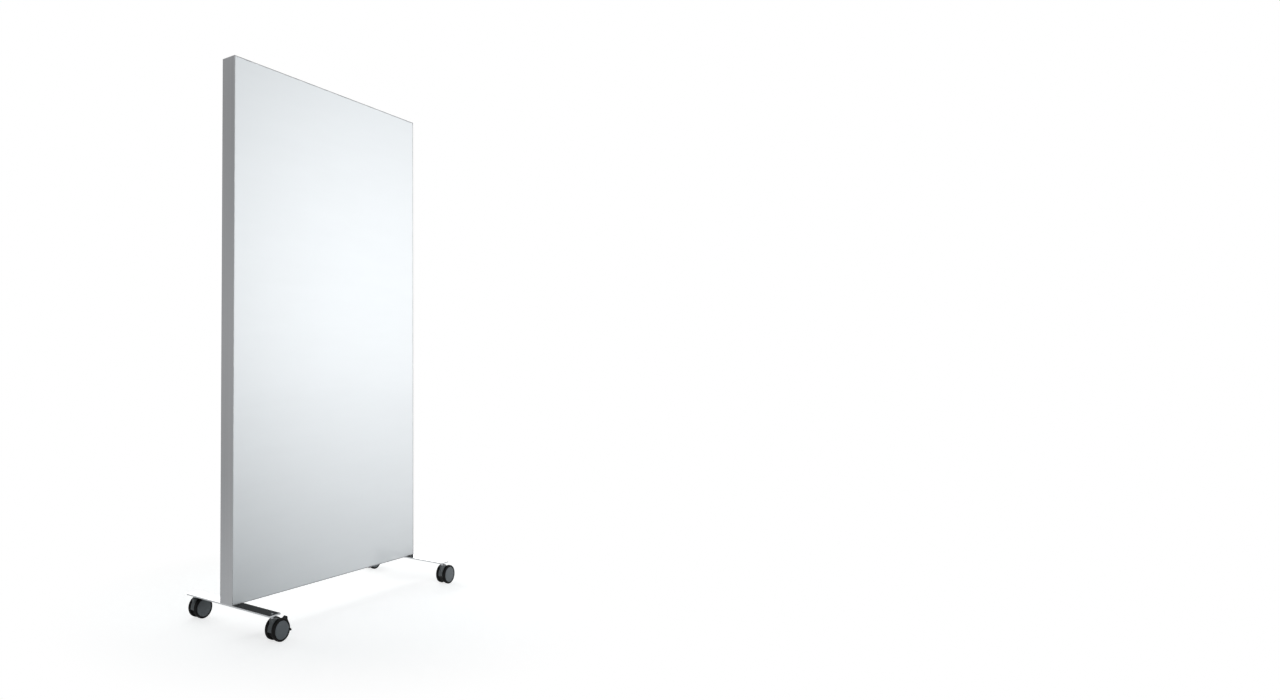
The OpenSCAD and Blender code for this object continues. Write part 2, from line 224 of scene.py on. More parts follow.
def seen_directly(tree, mirrored):
    """1 for camera and transmission rays, and how brightly glossy rays see the backdrop."""
    path = add_node(tree, "ShaderNodeLightPath").outputs
    either = calculate(tree, "MULTIPLY_ADD", path["Is Glossy Ray"], mirrored, path["Is Camera Ray"])
    return calculate(tree, "MAXIMUM", either, path["Is Transmission Ray"])


world = bpy.data.worlds.new("white_studio")
bpy.context.scene.world = world
world.use_nodes = True
sky = world.node_tree
sky.nodes.clear()
dim = feed(sky, "ShaderNodeBackground", {"Color": linear(FILL_COLOUR), "Strength": FILL_LIGHT})
white = feed(sky, "ShaderNodeBackground", {"Color": linear(WHITE), "Strength": 1.0})
sky_mix = feed(sky, "ShaderNodeMixShader", {0: seen_directly(sky, 1.0), 1: dim, 2: white})
add_node(sky, "ShaderNodeOutputWorld", {"Surface": sky_mix})
print("world:", world.name, "with a fill light of", FILL_LIGHT)

# %% [markdown]
# ## The floor
# The floor does as the world does: it adds a glow, which only those rays see, to a share of its
# real, shaded surface, so that the shadows under the feet stay. Away from the object that share
# fades out, and no horizon shows. Reflections see the glow a little weaker than the camera does,
# because the foot of the frame mirrors a floor that isn't quite white.

# %% Floor
FLOOR_COLOUR = "#C4C4C4"
FLOOR_SIZE = 60.0
FLOOR_IN_MIRRORS = 0.7
# Beside the object, the share of the shaded surface that shows, and how far the glow drops for it
SHADOW_SHARE, GLOW_DROP = 0.9, 0.26
# The distances from the middle of the object between which both fade out
SHADOW_REACH = (0.5, 1.05)


def studio_sheet(name, centre, across, up, material):
    """A flat rectangle of the studio and not of the object, from its centre and its half sides."""
    mesh = bpy.data.meshes.new(name)
    mesh.from_pydata([
        centre - across - up, centre + across - up, centre + across + up, centre - across + up],
        [], [(0, 1, 2, 3)])
    mesh.materials.append(material)
    sheet = add_object(name, mesh)
    return sheet


floor_material, tree, where = empty_material("matt_studio_floor")
away = add_node(tree, "ShaderNodeVectorMath", {0: where}, operation="LENGTH").outputs["Value"]
near = between(tree, away, 1.0, 0.0, *SHADOW_REACH, interpolation_type="SMOOTHSTEP")
seen = seen_directly(tree, FLOOR_IN_MIRRORS)
glow_strength = calculate(tree, "MULTIPLY", seen, calculate(tree, "MULTIPLY_ADD", near, -GLOW_DROP, 1.0))
hidden_share = calculate(tree, "MULTIPLY", seen, calculate(tree, "MULTIPLY_ADD", near, -SHADOW_SHARE, 1.0))
tone = mix_colours(tree, hidden_share, FLOOR_COLOUR, BLACK)
paint = feed(tree, "ShaderNodeBsdfDiffuse", {"Color": tone})
glow = feed(tree, "ShaderNodeEmission", {"Color": linear(WHITE), "Strength": glow_strength})
surface = feed(tree, "ShaderNodeAddShader", {0: paint, 1: glow})
add_node(tree, "ShaderNodeOutputMaterial", {"Surface": surface})

half = FLOOR_SIZE / 2
studio_sheet("floor", Vector(), Vector((half, 0, 0)), Vector((0, half, 0)), floor_material)
print("floor:", FLOOR_SIZE, "m square, shaded up to", SHADOW_REACH[1], "m from the middle")

# %% [markdown]
# ## The lamps
# Two long, narrow softboxes lie along the two faces of the panel, one for each, and give most of
# the light. The front one stands low, leans upwards and has its spread narrowed, which makes the
# board brightest above its middle and darker towards its foot, as in the photograph. No polished
# thing may mirror their hard outline, so reflections don't see them.
#
# Two small cards are there for the reflections alone: they are what the near foot's rear half and
# the far foot mirror. Light linking keeps them to the two feet, so that no other piece shows them.

# %% Lamps
FRONT_STRIP = (3.7, 0.48)
FRONT_PLACE = Vector((0.52, -2.60, 0.70))
FRONT_AIM = Vector((2.22, 0, 2.80))
FRONT_WATTS = 71
FRONT_SPREAD = math.radians(150)
BACK_STRIP = (5.3, 0.23)
BACK_PLACE = Vector((1.60, 1.10, 1.175))
BACK_AIM = Vector((1.31, 0, 1.52))
BACK_WATTS = 65
# Each card: the place on a foot that mirrors it, its own place, its size and its watts
FOOT_CARDS = {
    "near_foot_card": (Vector((-0.475, 0.12, 0.09)), Vector((0.63, 1.5, 0.565)), (0.7, 0.45), 16),
    "far_foot_card": (Vector((0.475, -0.12, 0.09)), Vector((2.68, 1.5, 0.715)), (1.0, 0.5), 25),
}


def softbox(name, place, aim, size, watts, mirrored):
    """A rectangular area lamp that faces a point. It is either only mirrored or never mirrored."""
    light = bpy.data.lights.new(name, "AREA")
    light.shape = "RECTANGLE"
    light.size, light.size_y = size
    light.energy = watts
    lamp = add_object(name, light)
    lamp.location = place
    lamp.rotation_euler = (aim - place).to_track_quat("-Z", "Y").to_euler()
    lamp.visible_camera = False
    lamp.visible_glossy = mirrored
    lamp.visible_diffuse = not mirrored
    return lamp


front = softbox("front_strip", FRONT_PLACE, FRONT_AIM, FRONT_STRIP, FRONT_WATTS, mirrored=False)
front.data.spread = FRONT_SPREAD
softbox("back_strip", BACK_PLACE, BACK_AIM, BACK_STRIP, BACK_WATTS, mirrored=False)
feet_only = bpy.data.collections.new("what_the_foot_cards_light")
for name, (foot, place, size, watts) in FOOT_CARDS.items():
    foot_card = softbox(name, place, foot, size, watts, mirrored=True)
    foot_card.light_linking.receiver_collection = feet_only

# %% [markdown]
# ## Two glowing grey cards
# Bare aluminium shows what stands opposite it. In a white studio it would vanish against the
# background, so a photographer puts a grey card beside it. Here each card glows by itself instead of
# being lit. Two cards stand off the panel's near end, one for each side that the camera may look from.
# Only reflections see them. Their glow is painted lightest at about the middle of the panel and fades
# upwards and downwards, as its end face does.

# %% Glowing grey cards
CARD_TONE = "#C8C8C8"
CARD_WIDTH, CARD_HEIGHT = 3.0, 3.2
CARD_PLACE = Vector((-2.0, 1.8, 1.6))
# Where a card's painted glow is brightest, its strength there, and what each metre above or below takes off
CARD_LIGHTEST_AT, CARD_STRENGTH, CARD_FADE = 1.1, 1.16, 0.2

glowing_card_material, tree, where = empty_material("glowing_grey_card")
# The card glows: its emission strength is a painted brightness, strongest at CARD_LIGHTEST_AT and weaker
# with height
off = calculate(tree, "ABSOLUTE", calculate(tree, "SUBTRACT", split(tree, where)["Z"], CARD_LIGHTEST_AT))
strength = calculate(tree, "MULTIPLY_ADD", off, -CARD_FADE, CARD_STRENGTH)
glow = feed(tree, "ShaderNodeEmission", {"Color": linear(CARD_TONE), "Strength": strength})
add_node(tree, "ShaderNodeOutputMaterial", {"Surface": glow})
up = Vector((0, 0, CARD_HEIGHT / 2))
for side in (-1, 1):
    centre = Vector((CARD_PLACE.x, side * CARD_PLACE.y, CARD_PLACE.z))
    across = Vector((centre.y, -centre.x, 0)).normalized() * (CARD_WIDTH / 2)
    card = studio_sheet("glowing_grey_card", centre, across, up, glowing_card_material)
    card.visible_camera = False
    card.visible_diffuse = False
    card.visible_transmission = False
    card.visible_shadow = False
print("grey cards: 2, of", CARD_WIDTH, "by", CARD_HEIGHT, "m")

# %% [markdown]
# ## Anodised aluminium
# The frame is an extruded profile, etched and anodised in its natural colour. Anodising leaves a
# satin, slightly dark grey metal, and the die leaves faint lines that run along the bar. The lines
# are some tenths of a millimetre wide on the real profile. They are drawn 1.2 mm wide here, because
# finer ones would be lost between the pixels. They give the eye the bar's direction: uprights are
# streaked upright and rails are streaked level.

# %% Anodised aluminium
DIE_LINE_MM = 1.2
DIE_LINE_LENGTH_MM = 900
ALUMINIUM_TONES = ("#ADAFB2", "#BBBCBE")
ALUMINIUM_ROUGHNESS = (0.30, 0.42)


def anodised_aluminium(name, *sizes_mm):
    """Aluminium with die lines of these sizes along x, y and z."""
    material, tree, bsdf, where = start_material(name, Metallic=1.0)
    lines = pattern(tree, where, sizes_mm, detail=3.0)
    tone = mix_colours(tree, between(tree, lines, start=0.3, end=0.7), *ALUMINIUM_TONES)
    roughness = between(tree, lines, *ALUMINIUM_ROUGHNESS)
    coat(tree, bsdf, tone, roughness, lines, strength=0.12, depth_mm=0.02)
    return material


aluminium_upright = anodised_aluminium(
    "anodised_aluminium_upright", DIE_LINE_MM, DIE_LINE_MM, DIE_LINE_LENGTH_MM)
aluminium_level = anodised_aluminium(
    "anodised_aluminium_level", DIE_LINE_LENGTH_MM, DIE_LINE_MM, DIE_LINE_MM)
print("die lines:", DIE_LINE_MM, "mm wide and", DIE_LINE_LENGTH_MM, "mm long")

# %% [markdown]
# ## Vitreous enamel
# The writing sheet is steel with white enamel fired on to it. It is glass, so it is smooth and
# reflects about as window glass does, but it isn't quite flat: firing leaves a faint orange peel of
# a few millimetres. Wiping leaves a haze that runs mostly level, which shows only as a slight
# change of gloss and tone.

# %% White enamel
ORANGE_PEEL_MM = 6
WIPE_MM = (260, 1, 45)
ENAMEL_TONES = ("#EEF0F2", "#F1F3F5")
ENAMEL_ROUGHNESS = (0.06, 0.13)

white_enamel, tree, bsdf, where = start_material("white_vitreous_enamel", IOR=1.5)
peel = pattern(tree, where, ORANGE_PEEL_MM, detail=1.0)
haze = pattern(tree, where, WIPE_MM)
tone = mix_colours(tree, haze, *ENAMEL_TONES)
coat(tree, bsdf, tone, between(tree, haze, *ENAMEL_ROUGHNESS, start=0.3, end=0.7), peel)
print("orange peel:", ORANGE_PEEL_MM, "mm")

# %% [markdown]
# ## Wool felt
# Felt has no weave. Wool fibres of a few slightly different greys and greens are matted together,
# which gives a fine cloudy mottle, and fibre ends stand off the surface and catch the light at
# grazing angles. Real fibres are a thirtieth of a millimetre thick. The mottle is drawn 9 mm wide and
# the fibres as flecks 1 mm wide, crossing in two directions, as coarse as they need to be to show.
# The soft halo is the shader's sheen.

# %% Felt
MOTTLE_MM, TINT_MM = 9, 14
FLECK_LENGTH_MM, FLECK_MM = 7, 1.1
FLECK_TURN = (0, math.radians(25), 0)
GROUND_TONES = ("#AAB1AA", "#C9CFC9")
FLECK_TONE, TINT_TONE = "#CED6CF", "#BFBCB8"
# How far the lightest flecks and the warmest spots pull the colour
FLECK_PULL, TINT_PULL = 0.35, 0.3

wool_felt, tree, bsdf, where = start_material("melange_wool_felt", **{
    "Roughness": 0.95, "Specular IOR Level": 0.15, "Sheen Weight": 0.15, "Sheen Roughness": 0.5})
mottle = pattern(tree, where, MOTTLE_MM, detail=4.0, roughness=0.65)
level_flecks = pattern(tree, where, (FLECK_LENGTH_MM, FLECK_MM, FLECK_MM), turn=FLECK_TURN)
upright_flecks = pattern(tree, where, (FLECK_MM, FLECK_MM, FLECK_LENGTH_MM), turn=FLECK_TURN)
crossed = calculate(tree, "ADD", level_flecks, upright_flecks)
ground = mix_colours(tree, between(tree, mottle, start=0.3, end=0.7), *GROUND_TONES)
fleck_share = calculate(tree, "MULTIPLY", between(tree, crossed, start=0.75, end=1.25), FLECK_PULL)
fibres = mix_colours(tree, fleck_share, ground, FLECK_TONE)
tint_share = between(tree, pattern(tree, where, TINT_MM), high=TINT_PULL, start=0.35, end=0.65)
colour = mix_colours(tree, tint_share, fibres, TINT_TONE)
coat(tree, bsdf, colour, height=calculate(tree, "ADD", crossed, mottle), strength=0.35, depth_mm=0.4)
print("mottle:", MOTTLE_MM, "mm, flecks:", FLECK_LENGTH_MM, "by", FLECK_MM, "mm")

# %% [markdown]
# ## The lacquered feet
# Each foot is a flat steel bar. Its faces are stoved with a glossy black lacquer and its long edges
# are left as bright ground metal, as the photograph shows: a dark strip with a light line under it.
# The lacquer's own reflection is held low, so that the near foot's front half stays as black as in
# the photograph, and the small cards alone make the other halves light. The grinding lines on the
# edges run along the bar.

# %% Lacquer and ground steel
LACQUER_RIPPLE_MM = 9
LACQUER_TONES = ("#0C0D10", "#14161A")
LACQUER_ROUGHNESS = (0.05, 0.1)
GRIND_MM = (0.8, 60, 0.8)
GROUND_STEEL_TONES = ("#BCBEC1", "#D8DADC")
GROUND_STEEL_ROUGHNESS = (0.22, 0.4)

foot_lacquer, tree, bsdf, where = start_material("black_stoving_lacquer", **{"Specular IOR Level": 0.03})
ripple = pattern(tree, where, LACQUER_RIPPLE_MM)
tone = mix_colours(tree, ripple, *LACQUER_TONES)
coat(tree, bsdf, tone, between(tree, ripple, *LACQUER_ROUGHNESS), ripple)

ground_steel, tree, bsdf, where = start_material("bright_ground_steel", Metallic=1.0)
lines = pattern(tree, where, GRIND_MM)
tone = mix_colours(tree, lines, *GROUND_STEEL_TONES)
coat(tree, bsdf, tone, between(tree, lines, *GROUND_STEEL_ROUGHNESS))
print("grinding lines:", GRIND_MM[0], "mm wide and", GRIND_MM[1], "mm long")

# %% [markdown]
# ## Small metal and moulded plastic
# The rest of the finishes come in two kinds. Plated, cast and spring metal is a tinted mirror with
# a cloudy gloss. Moulded plastic and rubber take the fine grain of their mould: a spark-eroded
# mould gives a leathery grain of about half a millimetre, and soft rubber also holds a little dust.
# One function for each kind takes the two tones it varies between, its grain and its gloss.

# %% Metals, plastics, rubber and boards
def cloudy_metal(name, dark, light, cloud_mm, roughness):
    """Plated, cast or spring metal."""
    material, tree, bsdf, where = start_material(name, Metallic=1.0)
    cloud = pattern(tree, where, cloud_mm, detail=3.0)
    coat(tree, bsdf, mix_colours(tree, cloud, dark, light), between(tree, cloud, *roughness))
    return material


def grained(name, dark, light, grain_mm, depth_mm, roughness, cloud_mm=25, **shader):
    """Moulded plastic, rubber or board, with the grain of its mould or of its fibres."""
    material, tree, bsdf, where = start_material(name, **shader)
    grain = pattern(tree, where, grain_mm)
    cloud = pattern(tree, where, cloud_mm, detail=3.0)
    share = between(tree, calculate(tree, "MULTIPLY", grain, cloud), start=0.1, end=0.4)
    tone = mix_colours(tree, share, dark, light)
    coat(tree, bsdf, tone, between(tree, cloud, *roughness), grain, strength=0.5, depth_mm=depth_mm)
    return material


# Zinc plate: bright, with a faint cloudy bloom.
zinc_plate = cloudy_metal("zinc_plated_steel", "#A5A8AC", "#BFC1C3", 6, (0.25, 0.42))
# Die casting: duller, with a sandy skin.
cast_metal = cloudy_metal("die_cast_aluminium", "#8B8C8E", "#A2A3A4", 2, (0.45, 0.65))
# Spring steel: blued dark by its heat treatment.
spring_steel = cloudy_metal("blued_spring_steel", "#33343A", "#4A4A4E", 3, (0.3, 0.45))
# Glass-filled nylon, moulded in dark grey: a satin skin with a fine grain.
hood_nylon = grained("moulded_grey_nylon", "#5C5F61", "#66696B", 0.5, 0.03, (0.38, 0.5))
rim_nylon = grained("moulded_black_nylon", "#1C1C1E", "#242426", 0.5, 0.03, (0.45, 0.6))
pedal_nylon = grained("black_pedal_nylon", "#0A0A0B", "#131314", 0.5, 0.04, (0.4, 0.55),
                      **{"Specular IOR Level": 0.25})
# Hub discs: polypropylene, a lighter, bluish grey.
hub_plastic = grained("moulded_grey_polypropylene", "#5F6468", "#686D71", 0.6, 0.03, (0.35, 0.5))
# Soft tread: matt thermoplastic rubber, a little dusty where it isn't rubbed.
tyre_rubber = grained("soft_black_rubber", "#070708", "#131313", 0.7, 0.05, (0.6, 0.85), cloud_mm=12,
                      **{"Specular IOR Level": 0.2})
# Inside the panel: a resin-bonded fibre slab, a wood fibreboard and a soft pin board.
absorber = grained("bonded_mineral_fibre", "#A9965F", "#C9B983", 1.5, 0.5, (0.9, 1.0))
fibreboard = grained("wood_fibreboard", "#7F6140", "#9A7B57", 1.2, 0.1, (0.75, 0.9))
soft_board = grained("soft_pin_board", "#6F573B", "#8C7350", 1.8, 0.3, (0.85, 0.95))
print("materials:", len(bpy.data.materials))

# %% [markdown]
# ## Keeping a piece
# A finished piece is a plain mesh at the origin, with its place in its vertices. It has to say what
# it rides on and which imported node it replaces. That node gets the same finish, for scenes that
# show the imported part. Edges sharper than 35 degrees stay crisp and the rest is shaded smooth.
# Plain smooth shading would bend the reflection in a flat face towards the rounded edges beside it,
# so a Weighted Normal modifier lets the largest face at each corner decide how it is shaded.

# %% Helpers for pieces
SMOOTH_UP_TO = math.radians(35)
has_finish = set()


def finish_packed(material, *nodes):
    """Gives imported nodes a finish."""
    for node in nodes:
        mesh = bpy.data.objects[node].data
        mesh.materials.clear()
        mesh.materials.append(material)
        has_finish.add(node)


def keep(name, mesh, body, slot, node, *materials, rigid=True):
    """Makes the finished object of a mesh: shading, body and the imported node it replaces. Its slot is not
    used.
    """
    for material in materials:
        mesh.materials.append(material)
    mesh.polygons.foreach_set("use_smooth", [True] * len(mesh.polygons))
    mesh.set_sharp_from_angle(angle=SMOOTH_UP_TO)
    piece = add_object(name, mesh)
    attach(piece, body)
    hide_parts(node)
    finish_packed(materials[0], node)
    if rigid:
        piece.modifiers.new("large_faces_lead", "WEIGHTED_NORMAL").keep_sharp = True
    return piece


def fill_mesh(mesh, bm):
    """Fills a mesh from a bmesh, with its faces outwards."""
    bmesh.ops.recalc_face_normals(bm, faces=bm.faces)
    bm.to_mesh(mesh)
    bm.free()
    return mesh


def mesh_of(bm, name):
    """Turns a bmesh into a new mesh, with its faces outwards."""
    return fill_mesh(bpy.data.meshes.new(name), bm)


# %% Helper for outlines
ARC_STEPS = 4


def rounded_outline(corners):
    """Points of a closed outline. Each corner is (x, y, radius), and the radius turns it into an arc."""
    points = []
    for i, (x, y, radius) in enumerate(corners):
        here = Vector((x, y))
        back = (Vector(corners[i - 1][:2]) - here).normalized()
        ahead = (Vector(corners[(i + 1) % len(corners)][:2]) - here).normalized()
        half_angle = back.angle(ahead) / 2
        centre = here + (back + ahead).normalized() * (radius / math.sin(half_angle))
        first = here + back * (radius / math.tan(half_angle)) - centre
        last = here + ahead * (radius / math.tan(half_angle)) - centre
        start = math.atan2(first.y, first.x)
        sweep = math.remainder(math.atan2(last.y, last.x) - start, math.tau)
        for k in range(ARC_STEPS + 1):
            angle = start + sweep * k / ARC_STEPS
            points.append(centre + radius * Vector((math.cos(angle), math.sin(angle))))
    return points


# %% [markdown]
# ## Geometry Nodes
# Some pieces follow a rule: a bar is a section drawn out and sawn at a mitre, a wheel is a section
# turned round its axle, and a screw is the same in every hole. A Geometry Nodes tree is that rule,
# with named sizes as its inputs. The helpers below start a tree, end it and do what the trees share.
# The last one runs a tree on a small mesh, sets the inputs by their identifiers and keeps the
# result as a plain mesh.

# %% Helpers for Geometry Nodes
WELD = 0.001 * MM


def start_tree(name, inputs):
    """A Geometry Nodes tree with these named inputs, and the outputs of its Group Input node."""
    tree = bpy.data.node_groups.new(name, "GeometryNodeTree")
    tree.interface.new_socket("Geometry", in_out="INPUT", socket_type="NodeSocketGeometry")
    for label, kind in inputs:
        tree.interface.new_socket(label, in_out="INPUT", socket_type="NodeSocket" + kind)
    tree.interface.new_socket("Geometry", in_out="OUTPUT", socket_type="NodeSocketGeometry")
    return tree, add_node(tree, "NodeGroupInput").outputs


def finish_tree(tree, geometry, material):
    """Ends a tree: real geometry, with its material."""
    real = feed(tree, "GeometryNodeRealizeInstances", {0: geometry})
    coated = feed(tree, "GeometryNodeSetMaterial", {"Geometry": real, "Material": material})
    add_node(tree, "NodeGroupOutput", {0: coated})


def place_at(tree, geometry, position):
    """Moves each point of a geometry to a position that the tree works out."""
    return feed(tree, "GeometryNodeSetPosition", {"Geometry": geometry, "Position": position})


def welded(tree, geometry):
    """Joins the points of a geometry that lie on each other."""
    return feed(tree, "GeometryNodeMergeByDistance", {"Geometry": geometry, "Distance": WELD})


def added(tree, first, second):
    """The sum of two vectors."""
    return feed(tree, "ShaderNodeVectorMath", {0: first, 1: second}, operation="ADD")


def grow(tree, seed, values):
    """What a tree makes of a seed mesh, as a plain mesh with its faces outwards."""
    holder = add_object(tree.name, seed)
    modifier = holder.modifiers.new(tree.name, "NODES")
    modifier.node_group = tree
    for item in tree.interface.items_tree:
        if item.in_out == "INPUT" and item.name in values:
            modifier[item.identifier] = values[item.name]
    depsgraph = bpy.context.evaluated_depsgraph_get()
    made = bpy.data.meshes.new_from_object(holder.evaluated_get(depsgraph), depsgraph=depsgraph)
    bpy.data.objects.remove(holder)
    made.materials.clear()
    bm = bmesh.new()
    bm.from_mesh(made)
    return fill_mesh(made, bm)


# %% [markdown]
# ## The frame
# All four sides of the frame are one aluminium profile. Its outer wall stands up past the chamber
# on both sides, and these two lips run round the board and round the felt. The bars are sawn at
# 45 degrees and meet at a mitre, where a hairline shows. A bar could be modelled as a box with
# grooves, but drawing the section once and running it along each side is how the real one is made,
# and it gives every edge the small radius that catches the light.

# %% The section of the frame
LIP_RADIUS = 0.7 * MM
EDGE_RADIUS = 0.35 * MM
CHAMBER_RADIUS = 0.6 * MM


def frame_section():
    """The profile's outline and its chamber, as two closed loops. x runs inwards from the edge."""
    lip, seat, chamber = PANEL_HIGH.y, SEAT_Y, SEAT_Y - CHAMBER_WALL
    outline = rounded_outline([
        (0, -lip, LIP_RADIUS), (PROFILE_WALL, -lip, EDGE_RADIUS), (PROFILE_WALL, -seat, EDGE_RADIUS),
        (PROFILE_DEPTH, -seat, EDGE_RADIUS), (PROFILE_DEPTH, seat, EDGE_RADIUS),
        (PROFILE_WALL, seat, EDGE_RADIUS), (PROFILE_WALL, lip, EDGE_RADIUS), (0, lip, LIP_RADIUS)])
    hollow = rounded_outline([
        (PROFILE_WALL, -chamber, CHAMBER_RADIUS), (PROFILE_DEPTH - CHAMBER_WALL, -chamber, CHAMBER_RADIUS),
        (PROFILE_DEPTH - CHAMBER_WALL, chamber, CHAMBER_RADIUS), (PROFILE_WALL, chamber, CHAMBER_RADIUS)])
    points, edges = [], []
    for loop in (outline, hollow):
        first = len(points)
        points += [(p.x, p.y, 0) for p in loop]
        edges += [(first + i, first + (i + 1) % len(loop)) for i in range(len(loop))]
    mesh = bpy.data.meshes.new("frame_section")
    mesh.from_pydata(points, edges, [])
    return mesh


bar_section = frame_section()
print("points of the section:", len(bar_section.vertices))

# %% [markdown]
# ## The mitred bar
# The tree fills the section, with its hollow, draws it out, closes the near end, and then moves each
# point: the further in from the outer edge it is, the more the saw takes off at both ends. The last
# nodes place the bar with three vectors, one to its corner, one inwards and one along.

# %% The tree of the mitred bar
def mitred_bar_tree():
    tree, given = start_tree("mitred_bar", [
        ("Length", "Float"), ("Mitre gap", "Float"), ("Corner", "Vector"), ("Inwards", "Vector"),
        ("Along", "Vector"), ("Finish", "Material")])

    def scaled(direction, distance):
        return feed(tree, "ShaderNodeVectorMath", {0: direction, "Scale": distance}, operation="SCALE")

    loops = feed(tree, "GeometryNodeMeshToCurve", {"Mesh": given["Geometry"]})
    end_face = feed(tree, "GeometryNodeFillCurve", {"Curve": loops})
    reach = feed(tree, "ShaderNodeCombineXYZ", {"Z": given["Length"]})
    drawn = feed(tree, "GeometryNodeExtrudeMesh", {
        "Mesh": end_face, "Offset": reach, "Individual": False}, mode="FACES")
    near_face = feed(tree, "GeometryNodeFlipFaces", {"Mesh": end_face})
    both = add_node(tree, "GeometryNodeJoinGeometry", {0: drawn})
    tree.links.new(near_face, both.inputs[0])
    at = split(tree, feed(tree, "GeometryNodeInputPosition"))
    inset = calculate(tree, "ADD", at["X"], given["Mitre gap"])
    far_share = calculate(tree, "DIVIDE", at["Z"], given["Length"])
    # From 1 at the near end to -1 at the far end
    end_sign = calculate(tree, "MULTIPLY_ADD", far_share, -2.0, 1.0)
    sawn = calculate(tree, "MULTIPLY_ADD", inset, end_sign, at["Z"])
    in_plane = added(tree, scaled(given["Inwards"], at["X"]), scaled(given["Along"], sawn))
    across = feed(tree, "ShaderNodeCombineXYZ", {"Y": at["Y"]})
    place = added(tree, added(tree, in_plane, across), given["Corner"])
    finish_tree(tree, place_at(tree, welded(tree, both.outputs[0]), place), given["Finish"])
    return tree


mitred_bar = mitred_bar_tree()
print("nodes of the bar's tree:", len(mitred_bar.nodes))

# %% The four bars of the frame
MITRE_GAP = 0.08 * MM
X, Z = Vector((1, 0, 0)), Vector((0, 0, 1))
LOW_LEFT = Vector((PANEL_LOW.x, 0, PANEL_LOW.z))
LOW_RIGHT = Vector((PANEL_HIGH.x, 0, PANEL_LOW.z))
HIGH_LEFT = Vector((PANEL_LOW.x, 0, PANEL_HIGH.z))
PANEL_SIZE = PANEL_HIGH - PANEL_LOW
for node, corner, inwards, along, length, finish in (
        ("stile_left", LOW_LEFT, X, Z, PANEL_SIZE.z, aluminium_upright),
        ("stile_right", LOW_RIGHT, -X, Z, PANEL_SIZE.z, aluminium_upright),
        ("top_rail", HIGH_LEFT, -Z, X, PANEL_SIZE.x, aluminium_level),
        ("bottom_rail", LOW_LEFT, Z, X, PANEL_SIZE.x, aluminium_level)):
    bar = grow(mitred_bar, bar_section, {
        "Length": length, "Mitre gap": MITRE_GAP, "Corner": corner, "Inwards": inwards, "Along": along,
        "Finish": finish})
    keep(node + "_profile", bar, "root", "frame_aluminium", node, finish)
    print(node, "faces:", len(bar.polygons))

# %% [markdown]
# ## The writing sheet
# The board is one sheet of enamelled steel, bonded to its backing. Enamel can't cover a sharp edge,
# so the sheet's edges are rolled to a small radius before it is fired, and the board ends in a soft
# line just inside the lip. A box with a bevel modifier would do. Here the radius is drawn with
# bmesh's own bevel, so that the finished mesh is plain.

# %% The writing sheet
SHEET_EDGE_RADIUS = 0.3 * MM
EDGE_SEGMENTS = 3


def slab(low, high, radius):
    """A box between two corners, with its edges rounded."""
    bm = bmesh.new()
    bmesh.ops.create_cube(bm, size=1.0)
    centre, size = (low + high) / 2, high - low
    for vert in bm.verts:
        vert.co = centre + Vector(v * s for v, s in zip(vert.co, size))
    bmesh.ops.bevel(bm, geom=bm.edges, offset=radius, segments=EDGE_SEGMENTS, profile=0.5,
                    affect="EDGES", clamp_overlap=True)
    return bm


low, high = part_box("writing_sheet")
keep("enamelled_writing_sheet", mesh_of(slab(low, high, SHEET_EDGE_RADIUS), "writing_sheet"), "root",
     "white_enamel", "writing_sheet", white_enamel)
print("writing sheet:", high - low)

# %% [markdown]
# ## The felt
# The felt is a sheet that was cut larger than the board, laid over it, and turned down over its
# four edges, with the corners cut out. The mesh is made the same way, from a flat grid with rows
# close together where it bends: how far a point lies past the flat face says how far round the arc,
# or down the edge, it goes. So the felt keeps the size that it was cut to.

# %% The cut sheet and its fold
BEND_STEPS = 5
FACE_STEP = 14 * MM

felt_low, felt_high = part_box("felt_cover")
FELT_T = felt_high.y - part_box("pin_board")[1].y
TURN_DEPTH = felt_high.y - felt_low.y
BEND_LENGTH = FELT_T * math.pi / 2
# How much of the cut sheet lies past the flat face, on each of its four sides
TURNED_IN = BEND_LENGTH + TURN_DEPTH - FELT_T


def stations(flat_length):
    """Places along the cut sheet, from its middle: the flat part, the bend and the turned edge."""
    count = math.ceil(flat_length / FACE_STEP)
    flat = [flat_length * (i / count - 0.5) for i in range(count + 1)]
    past = [BEND_LENGTH * (i + 1) / BEND_STEPS for i in range(BEND_STEPS)] + [TURNED_IN]
    end = flat_length / 2
    return [-end - p for p in reversed(past)] + flat + [end + p for p in past]


def fold(place, flat_length):
    """Where a place on the cut sheet ends up: (distance from the middle, depth below the face)."""
    past = abs(place) - flat_length / 2
    if past <= 0:
        return place, 0.0
    side = math.copysign(1, place)
    if past < BEND_LENGTH:
        angle = past / FELT_T
        return side * (flat_length / 2 + FELT_T * math.sin(angle)), FELT_T * (1 - math.cos(angle))
    return side * (flat_length / 2 + FELT_T), FELT_T + past - BEND_LENGTH


print("felt:", FELT_T, "thick, turned in by", TURNED_IN)

# %% [markdown]
# ## The felt's face
# A soft board under soft felt is never dead flat. A ripple drawn with bump alone would be lost in
# the mesh that other scenes use, so the face itself gets a slow swell of a tenth or two of a
# millimetre, which fades out at the edges. Solidify gives the sheet its thickness, towards the board.

# %% The felt cover
SWELL_MM = 140
SWELL_HEIGHT = 0.12 * MM
SWELL_SEED = Vector((3.7, 1.9, 8.2))
# Past the bend by this factor, a point of a corner is cut away
CORNER_CUT = 1.001


